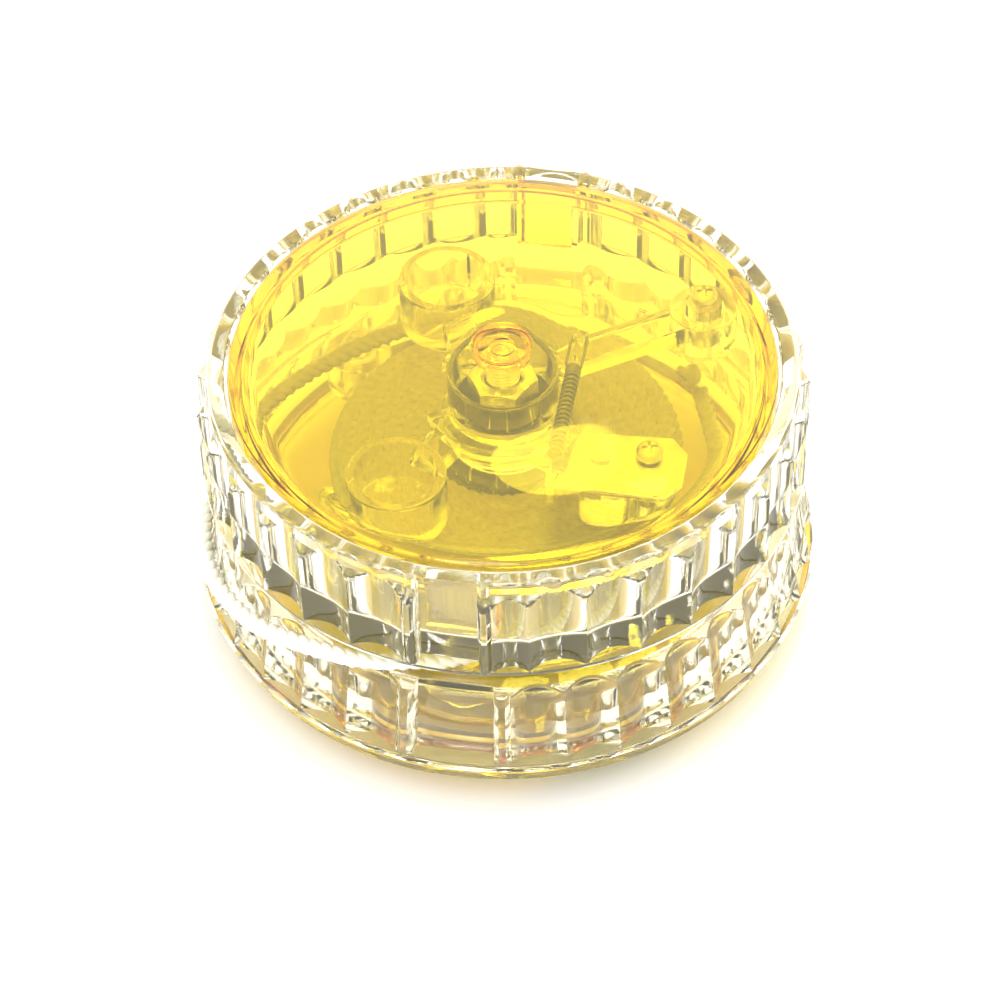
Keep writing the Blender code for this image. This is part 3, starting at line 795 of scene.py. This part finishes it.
def shell_body(name, layout, flutes, flare):
    columns = wall_columns(layout)
    heights, offsets = zip(*flare)
    rows = []
    lip = 0.28 * MM
    for back, up in ((lip, 0.0), (0.45 * lip, 0.12 * lip), (0.12 * lip, 0.45 * lip), (0.0, lip)):
        z = GAP_HALF + up
        out = np.interp(z, heights, offsets) - back
        rows.append([(wall_radius(cut, z, flutes) + out, z) for _, cut in columns])
    for z in shell_levels(flutes):
        out = np.interp(z, heights, offsets)
        rows.append([(wall_radius(cut, z, flutes) + out, z) for _, cut in columns])
    rim = RIM_R + float(np.interp(RIM_Z, heights, offsets))
    inside = [
        (rim - 0.12 * MM, RIM_Z - 0.08 * MM),
        (rim - 0.35 * MM, RIM_Z),
        (WALL_R + 0.3 * MM, RIM_Z),
        (WALL_R + 0.1 * MM, RIM_Z - 0.06 * MM),
        (WALL_R, RIM_Z - 0.25 * MM),
    ]
    inside += [(WALL_R, z) for z in np.linspace(RIM_Z - 1 * MM, FLOOR_Z + 1.2 * MM, 5)]
    for turn in np.radians(np.linspace(0, 90, 7)):
        fillet = 0.9 * MM
        radius = WALL_R - fillet * (1 - math.cos(turn))
        inside.append((radius, FLOOR_Z + fillet * (1 - math.sin(turn))))
    inside += [(r * MM, FLOOR_Z) for r in (22, 17, 12, 8, 5.6)]
    inside += [(5.3 * MM, FLOOR_Z - 0.06 * MM), (HUB_HOLE_R, FLOOR_Z - 0.25 * MM)]
    inside += [(HUB_HOLE_R, GAP_HALF + 0.2 * MM), (5.4 * MM, GAP_HALF)]
    inside += [(r * MM, GAP_HALF) for r in (9, 14, 20, 25)]
    rows += [[point] * len(columns) for point in inside]
    bm = bmesh.new()
    rings = []
    for row in rows:
        ring = []
        for (bearing, _), (radius, z) in zip(columns, row):
            point = (radius * math.sin(bearing), -radius * math.cos(bearing), z)
            ring.append(bm.verts.new(point))
        rings.append(ring)
    for k, ring in enumerate(rings):
        above = rings[(k + 1) % len(rings)]
        for i in range(len(ring)):
            j = (i + 1) % len(ring)
            bm.faces.new((ring[i], ring[j], above[j], above[i]))
    return from_bmesh(name, bm, 30)


def post_profile(radius, top, hole_r, hole_z):
    root = FLOOR_Z - 0.8 * MM
    return eased(
        [
            (0, root, 0),
            (radius, root, 0),
            (radius, top, 0.15 * MM),
            (hole_r, top, 0.15 * MM),
            (hole_r, hole_z, 0.1 * MM),
            (0, hole_z, 0),
        ]
    )


def add_shell(side, matrix, wall):
    shell = shell_body(f"{side}_shell_moulding", *wall)
    posts = []
    for at, top in ((FRONT_PIVOT, ARM_TOP), (BACK_PIVOT, PLATE_Z[1])):
        profile = post_profile(POST_R, top, POST_HOLE_R, POST_HOLE_Z)
        posts.append(turned("post", profile, 40, at))
    if side == "lower":
        profile = post_profile(POCKET_R, POCKET_TOP, POCKET_BORE_R, FLOOR_Z + POCKET_FLOOR)
        posts.append(turned("pocket", profile, 64, POCKET_AT))
    combine(shell, posts, "UNION", 30)
    # The lower shell's golden finish is painted yellow light, not a tint of its plastic.
    finish = "clear_painted_gold" if side == "lower" else "clear"
    place(shell, matrix, finish, f"{side}_half", f"{side}_shell")


# Caps


def dome_height(radius, top):
    share = max(0.0, (radius - CAP_LAND_R) / (CAP_R - CAP_LAND_R))
    return top - DOME * share**2


def add_cap(side, matrix, tab_bearing):
    edge = 0.3 * MM
    radii = np.linspace(CAP_R - edge, CAP_LAND_R, 22)
    profile = [(CAP_R, dome_height(CAP_R, APEX_Z) - edge)]
    profile.append((CAP_R - 0.09 * MM, dome_height(CAP_R, APEX_Z) - 0.06 * MM))
    profile += [(r, dome_height(r, APEX_Z)) for r in radii]
    profile += [(3.0 * MM, APEX_Z), (0.0, APEX_Z)]
    under = APEX_Z - CAP_THICK
    profile += [
        (0.0, BOSS_Z + 0.9 * MM),
        (1.0 * MM, BOSS_Z + 0.9 * MM),
        (1.15 * MM, BOSS_Z + 0.8 * MM),
        (1.15 * MM, BOSS_Z + 0.1 * MM),
        (1.25 * MM, BOSS_Z),
        (BOSS_R - 0.4 * MM, BOSS_Z),
        (BOSS_R - 0.2 * MM, BOSS_Z + 0.15 * MM),
        (BOSS_R - 0.05 * MM, under - 0.4 * MM),
        (BOSS_R + 0.1 * MM, under - 0.1 * MM),
        (BOSS_R + 0.4 * MM, under),
    ]
    inner = CAP_R - SKIRT_THICK
    profile += [(r, dome_height(r, under)) for r in np.linspace(CAP_LAND_R, inner - 0.5 * MM, 20)]
    low = dome_height(inner, under)
    profile += [
        (inner - 0.15 * MM, low - 0.2 * MM),
        (inner, low - 0.5 * MM),
        (inner, SKIRT_Z + 0.2 * MM),
        (inner + 0.2 * MM, SKIRT_Z),
        (CAP_R - 0.2 * MM, SKIRT_Z),
        (CAP_R, SKIRT_Z + 0.2 * MM),
    ]
    cap = turned(f"{side}_cap_moulding", profile, 160)
    tabs = []
    for sign in (-1, 1):
        outside = CAP_R - 0.25 * MM
        near, far = sorted((sign * outside, sign * (outside - TAB_THICK)))
        outline = [(-TAB_HALF, near), (TAB_HALF, near), (TAB_HALF, far), (-TAB_HALF, far)]
        tab = slab("tab", outline, TAB_Z, SKIRT_Z + 1.0 * MM, 0.2 * MM)
        tab.data.transform(Matrix.Rotation(tab_bearing, 4, "Z"))
        tabs.append(tab)
    combine(cap, tabs, "UNION")
    place(cap, matrix, "yellow", f"{side}_half", f"{side}_cap")


# Clutch arms, plates, pins and springs


def add_arm(side, matrix, end, sign):
    pivot = FRONT_PIVOT if sign < 0 else BACK_PIVOT
    tube_at = (TUBE_CENTRE.x, sign * TUBE_CENTRE.y)
    name = f"{side}_{end}_arm_moulding"
    if sign < 0:
        x0, x1, y0, y1 = BLOCK
        corners = rounded([(x0, y0), (x1, y0), (x1, y1), (x0, y1)], 1.6 * MM)
        arm = slab(name, corners, ARM_LOW, ARM_TOP)
        ends = ((10.4 * MM, -8.4 * MM), (4.4 * MM, -5.4 * MM))
        shoe = (-150.0, -26.0)
    else:
        arm = disc(name, KNUCKLE_R, ARM_LOW, ARM_TOP, pivot, 0.2 * MM)
        ends = ((15.6 * MM, 12.93 * MM), (4.4 * MM, 5.47 * MM))
        shoe = (40.0, 150.0)
    neck = ((-3.9 * MM, sign * 5.4 * MM), (-6.2 * MM, sign * 10.0 * MM))
    parts = [
        bar("bar", *ends, BAR_HALF, SHOE_LOW + 0.1 * MM, ARM_TOP - 0.2 * MM),
        arc_band("shoe", SHOE_R, *shoe, SHOE_LOW, ARM_TOP - 0.1 * MM),
        bar("neck", *neck, BAR_HALF, SHOE_LOW + 0.2 * MM, ARM_TOP - 0.3 * MM),
        disc("tube", TUBE_R, ARM_LOW, TUBE_TOP, tube_at, 0.25 * MM, 72),
    ]
    bores = [
        disc("tube_bore", TUBE_BORE_R, ARM_LOW + 1.0 * MM, RIM_Z, tube_at, 0.2 * MM, 72),
        disc("pivot_bore", PIVOT_BORE_R, 0.0, RIM_Z, pivot, 0.0, 40),
    ]
    if sign < 0:
        bores.append(disc("rivet_bore", RIVET_BORE_R, 5.6 * MM, RIM_Z, RIVET_AT, 0.0, 32))
    else:
        lug = disc("lug", 0.6 * MM, SHOE_LOW + 0.5 * MM, 11.2 * MM, SPRING_LUG, 0.15 * MM, 32)
        parts.append(lug)
    combine(arm, parts, "UNION")
    combine(arm, bores, "DIFFERENCE")
    place(arm, matrix, "arm", f"{side}_{end}_clutch", f"{side}_{end}_arm")


def add_plate(side, matrix):
    corners = [
        (5.7, -11.7),
        (16.6, -11.7),
        (18.0, -10.0),
        (18.0, -6.2),
        (16.4, -4.4),
        (8.0, -4.9),
        (5.7, -9.9),
    ]
    outline = rounded([(x * MM, y * MM) for x, y in corners], 0.35 * MM, 3)
    plate = slab(f"{side}_lever_plate_steel", outline, *PLATE_Z, 0.12 * MM)
    ends = ((PLATE_LUG_X, -11.1 * MM), (PLATE_LUG_X, -10.1 * MM))
    lug = bar("lug", *ends, 0.3 * MM, PLATE_Z[0] - 2.6 * MM, PLATE_Z[0] + 0.3 * MM, 0.08 * MM)
    combine(plate, [lug], "UNION")
    holes = [
        disc("screw_hole", POST_HOLE_R, 0.0, RIM_Z, FRONT_PIVOT, 0.0, 40),
        disc("rivet_hole", RIVET_BORE_R, 0.0, RIM_Z, RIVET_AT, 0.0, 40),
    ]
    combine(plate, holes, "DIFFERENCE")
    place(plate, matrix, "mirror", f"{side}_front_clutch", f"{side}_lever_plate")
    seat = PLATE_Z[1] + CLEAR
    profile = eased(
        [
            (0, 5.9 * MM, 0),
            (0.6 * MM, 5.9 * MM, 0.1 * MM),
            (0.6 * MM, seat, 0),
            (1.15 * MM, seat, 0.08 * MM),
            (1.1 * MM, seat + 0.36 * MM, 0.2 * MM),
            (0.55 * MM, seat + 0.5 * MM, 0.08 * MM),
            (0.4 * MM, seat + 0.3 * MM, 0.08 * MM),
            (0, seat + 0.26 * MM, 0),
        ]
    )
    rivet = turned(f"{side}_lever_rivet_steel", profile, 40, RIVET_AT)
    place(rivet, matrix, "steel", f"{side}_front_clutch", f"{side}_lever_rivet")


def add_screw(side, matrix, end, at):
    seat = PLATE_Z[1] + CLEAR
    low = POST_HOLE_Z + CLEAR
    name = f"{side}_{end}_pivot_screw_steel"
    top = seat + SCREW_HEAD_TALL
    profile = eased(
        [
            (0, seat, 0),
            (SCREW_HEAD_R, seat, 0.08 * MM),
            (SCREW_HEAD_R, seat + 0.55 * MM, 0.3 * MM),
            (0.8 * MM, top, 0.3 * MM),
            (0, top, 0),
        ]
    )
    head = turned(name, profile, 40, at)
    thread = [(low, 9.2 * MM)]
    thread_depth = 0.13 * MM
    neck = seat + 0.2 * MM
    shank = threaded(
        "shank", SCREW_SHANK_R, thread_depth, SCREW_PITCH, thread, low, neck, at
    )
    combine(head, [shank], "UNION")
    slot_low, slot_high = seat + 0.45 * MM, seat + 2 * MM
    cuts = []
    for turn in (0.3, 0.3 + math.pi / 2):
        reach = Vector((math.cos(turn), math.sin(turn))) * 0.72 * MM
        ends = (at - reach, at + reach)
        cuts.append(bar("cut", *ends, 0.16 * MM, slot_low, slot_high, 0.04 * MM))
    combine(head, cuts, "DIFFERENCE")
    place(head, matrix, "steel", f"{side}_half", f"{side}_{end}_pivot_screw")


def add_spring(side, matrix):
    """An extension spring: close turns at the back, open ones in front, two hooks."""
    x0, z0 = SPRING_LUG.x, SPRING_Z
    ring, wire, back = SPRING_RING_R, SPRING_WIRE_R, SPRING_BACK_Y
    points = []
    y = back
    lug_r = 0.6 * MM + wire + 0.03 * MM
    for t in np.linspace(0, 1, 5)[:-1]:
        points.append((x0 - lug_r, 2.3 * MM + (SPRING_LUG.y - 2.3 * MM) * t, z0))
    for a in np.radians(np.linspace(180, 0, 13)):
        points.append((x0 + lug_r * math.cos(a), SPRING_LUG.y + lug_r * math.sin(a), z0))
    for t in np.linspace(0, 1, 5)[1:-1]:
        points.append((x0 + lug_r - 0.15 * MM * t, SPRING_LUG.y + (back - SPRING_LUG.y) * t, z0))
    for pitch in SPRING_PITCHES:
        for share in np.arange(14) / 14:
            a = math.tau * share
            points.append((x0 + ring * math.cos(a), y - pitch * share, z0 + ring * math.sin(a)))
        y -= pitch
    end = y
    points += [
        (x0 + ring * 0.6, end - 0.15 * MM, z0 - 0.1 * MM),
        (x0 + ring * 0.1, end - 0.4 * MM, z0 - 0.2 * MM),
        (x0, -10.3 * MM, z0 - 0.25 * MM),
        (x0, -10.6 * MM, z0 - 0.5 * MM),
        (x0, -10.62 * MM, z0 - 0.8 * MM),
    ]
    spring = tubes(f"{side}_clutch_spring_wire", [(resample(points, 0.12 * MM), wire, 8)])
    place(spring, matrix, "wire", f"{side}_half", f"{side}_clutch_spring")


# Spindle


def add_spindle_end(side, matrix):
    seat = NUT_Z[0] - WASHER_THICK - 2 * CLEAR
    drum = eased(
        [
            (BORE_R, FLANGE_Z[0], 0.1 * MM),
            (FLANGE_R, FLANGE_Z[0], 0.15 * MM),
            (FLANGE_R, FLANGE_Z[1], 0.2 * MM),
            (DRUM_R, FLANGE_Z[1], 0.25 * MM),
            (DRUM_R, DRUM_TOP_Z, 0.2 * MM),
            (NUT_POCKET_R, DRUM_TOP_Z, 0.2 * MM),
            (NUT_POCKET_R, seat, 0.3 * MM),
            (BORE_R, seat, 0.1 * MM),
        ],
        4,
    )
    place(turned(f"{side}_drum_moulding", drum, 96), matrix, "arm", "spindle", f"{side}_drum")
    angles = [math.tau * i / 6 for i in range(6)]
    corners = [(NUT_CORNER_R * math.cos(a), NUT_CORNER_R * math.sin(a)) for a in angles]
    nut = slab(f"{side}_nut_steel", corners, *NUT_Z, 0.02 * MM)
    low, high = NUT_Z
    cone = [
        (0, low),
        (2.85 * MM, low),
        (3.4 * MM, low + 0.32 * MM),
        (3.4 * MM, high - 0.32 * MM),
        (2.85 * MM, high),
        (0, high),
    ]
    combine(nut, [turned("cone", cone, 60)], "INTERSECT")
    bore = [
        (0, low - 1 * MM),
        (2.0 * MM, low - 1 * MM),
        (2.0 * MM, low),
        (1.66 * MM, low + 0.3 * MM),
        (1.66 * MM, high - 0.3 * MM),
        (2.0 * MM, high),
        (2.0 * MM, high + 1 * MM),
        (0, high + 1 * MM),
    ]
    combine(nut, [turned("bore", bore, 48)], "DIFFERENCE", 25)
    place(nut, matrix, "steel", "spindle", f"{side}_nut")
    # The dark washer under each nut is painted shade: its dark tone puts in the ring of shade and
    # dark reflections round the nut.
    top = low - CLEAR
    edge = 0.1 * MM
    washer = eased(
        [
            (BORE_R, top - WASHER_THICK, edge),
            (WASHER_R, top - WASHER_THICK, edge),
            (WASHER_R, top, edge),
            (BORE_R, top, edge),
        ]
    )
    piece = turned(f"{side}_washer_painted_shade", washer, 72)
    place(piece, matrix, "dark", "spindle", f"{side}_washer")


def add_spindle():
    bolt = threaded(
        "axle_bolt_steel",
        BOLT_R,
        0.24 * MM,
        0.5 * MM,
        [(-RIM_Z, -6 * MM), (6 * MM, RIM_Z)],
        -RIM_Z,
        RIM_Z,
        sides=40,
    )
    place(bolt, UPPER, "steel", "spindle", "axle_bolt")
    reach = FLANGE_Z[0] - CLEAR
    low, high = SLEEVE_FLANGE_Z
    edge = 0.1 * MM
    outside = [
        (SLEEVE_R, -reach, 0.15 * MM),
        (SLEEVE_R, -high, 0),
        (SLEEVE_FLANGE_R, -high, edge),
        (SLEEVE_FLANGE_R, -low, edge),
        (SLEEVE_R, -low, 0),
    ]
    outside += [(radius, -height, ease) for radius, height, ease in reversed(outside)]
    profile = eased([(BORE_R, -reach, edge)] + outside + [(BORE_R, reach, edge)])
    sleeve = turned("string_sleeve_steel", profile, 96)
    place(sleeve, UPPER, "dark", "spindle", "string_sleeve")


add_spindle()
for side, matrix, wall, tab_bearing in (
    ("upper", UPPER, (UPPER_LAYOUT, UPPER_FLUTES, UPPER_FLARE), 0.0),
    ("lower", LOWER, (LOWER_LAYOUT, LOWER_FLUTES, LOWER_FLARE), math.pi / 2),
):
    add_shell(side, matrix, wall)
    add_cap(side, matrix, tab_bearing)
    add_arm(side, matrix, "front", -1)
    add_arm(side, matrix, "back", 1)
    add_plate(side, matrix)
    add_screw(side, matrix, "front", FRONT_PIVOT)
    add_screw(side, matrix, "back", BACK_PIVOT)
    add_spring(side, matrix)
    add_spindle_end(side, matrix)


# Stage


def add_floor():
    half = 1.5
    bm = bmesh.new()
    corners = [(-half, -half), (half, -half), (half, half), (-half, half)]
    bm.faces.new([bm.verts.new((x, y, 0.0)) for x, y in corners])
    floor = from_bmesh("floor", bm)
    m = Nodes("white_table")
    m.set(Base_Color=(0.93, 0.93, 0.93, 1.0), Roughness=0.3)
    m.set(Specular_IOR_Level=0.3)
    m.bump(m.noise(30, 2.0), 0.02, 0.0005)
    floor.data.materials.append(m.mat)


def add_lamp(name, place_at, aim, size, power, mirrored=True):
    data = bpy.data.lights.new(name, "AREA")
    data.shape = "DISK"
    data.size = size
    data.energy = power
    lamp = bpy.data.objects.new(name, data)
    bpy.context.collection.objects.link(lamp)
    lamp.location = place_at
    lamp.visible_glossy = mirrored
    lamp.rotation_euler = (Vector(aim) - Vector(place_at)).to_track_quat("-Z", "Y").to_euler()


def add_world():
    world = bpy.data.worlds.new("studio")
    bpy.context.scene.world = world
    world.use_nodes = True
    tree = world.node_tree
    shader = tree.nodes["Background"]
    coords = tree.nodes.new("ShaderNodeTexCoord")
    split = tree.nodes.new("ShaderNodeSeparateXYZ")
    ramp = tree.nodes.new("ShaderNodeValToRGB")
    line = ramp.color_ramp.elements
    stops = [(0.0, 0.95), (0.04, 0.75), (0.3, 0.92), (0.6, 1.0)]
    while len(line) < len(stops):
        line.new(0.5)
    for element, (at, value) in zip(line, stops):
        element.position = at
        element.color = (value, value, value, 1.0)
    tree.links.new(coords.outputs["Generated"], split.inputs["Vector"])
    tree.links.new(split.outputs["Z"], ramp.inputs["Fac"])
    tree.links.new(ramp.outputs["Color"], shader.inputs["Color"])
    shader.inputs["Strength"].default_value = 1.58


add_floor()
add_world()
add_lamp("softbox", (-0.1, -0.3, 0.8), (0, 0, 0.01), 0.35, 1.2)
add_lamp("back_lamp", (0.08, 0.34, 0.72), (0, 0, 0.01), 0.2, 1.5, mirrored=False)

scene = bpy.context.scene
scene.view_settings.view_transform = "Standard"
scene.cycles.max_bounces = 28
scene.cycles.transmission_bounces = 28
scene.cycles.glossy_bounces = 8
scene.cycles.caustics_refractive = False
scene.cycles.caustics_reflective = False
scene.cycles.transparent_max_bounces = 32
